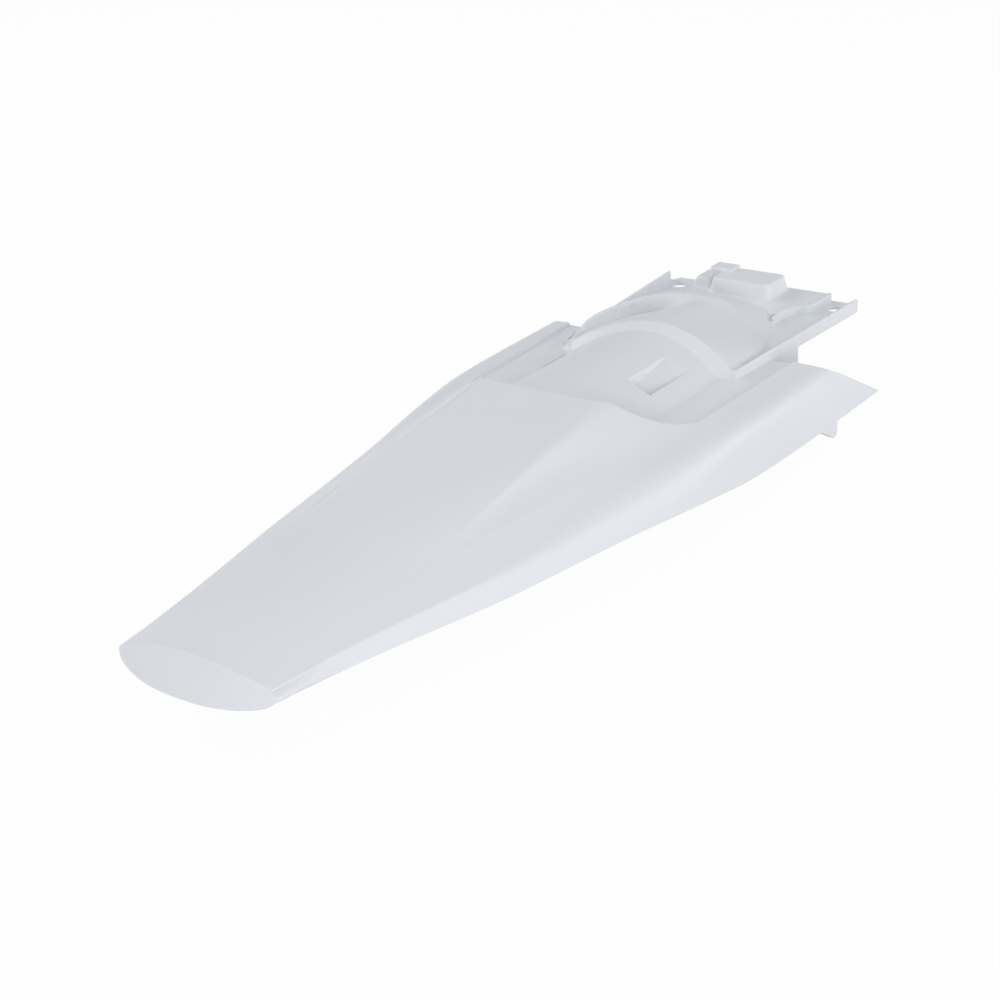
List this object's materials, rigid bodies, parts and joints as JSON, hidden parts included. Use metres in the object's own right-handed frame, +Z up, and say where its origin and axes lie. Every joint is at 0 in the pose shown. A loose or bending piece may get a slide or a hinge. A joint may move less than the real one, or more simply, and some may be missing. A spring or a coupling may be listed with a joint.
{
  "type": "motorcycle rear fender",
  "caption": "Rear fender of an off-road motorcycle: crowned tail, seat recess with an arch and a domed front, side wings and a flat plate with bolt holes.",
  "frame": {"origin": "halfway between the two front bolt holes, on top of the mounting plate", "axes": "+X forward along the motorcycle, +Y to its left, +Z up"},
  "size_m": [0.715, 0.2606, 0.0877],
  "materials": {
    "fender": "satin white moulded plastic"
  },
  "bodies": {
    "root": {"rear_fender": "fender"}
  },
  "joints": []
}
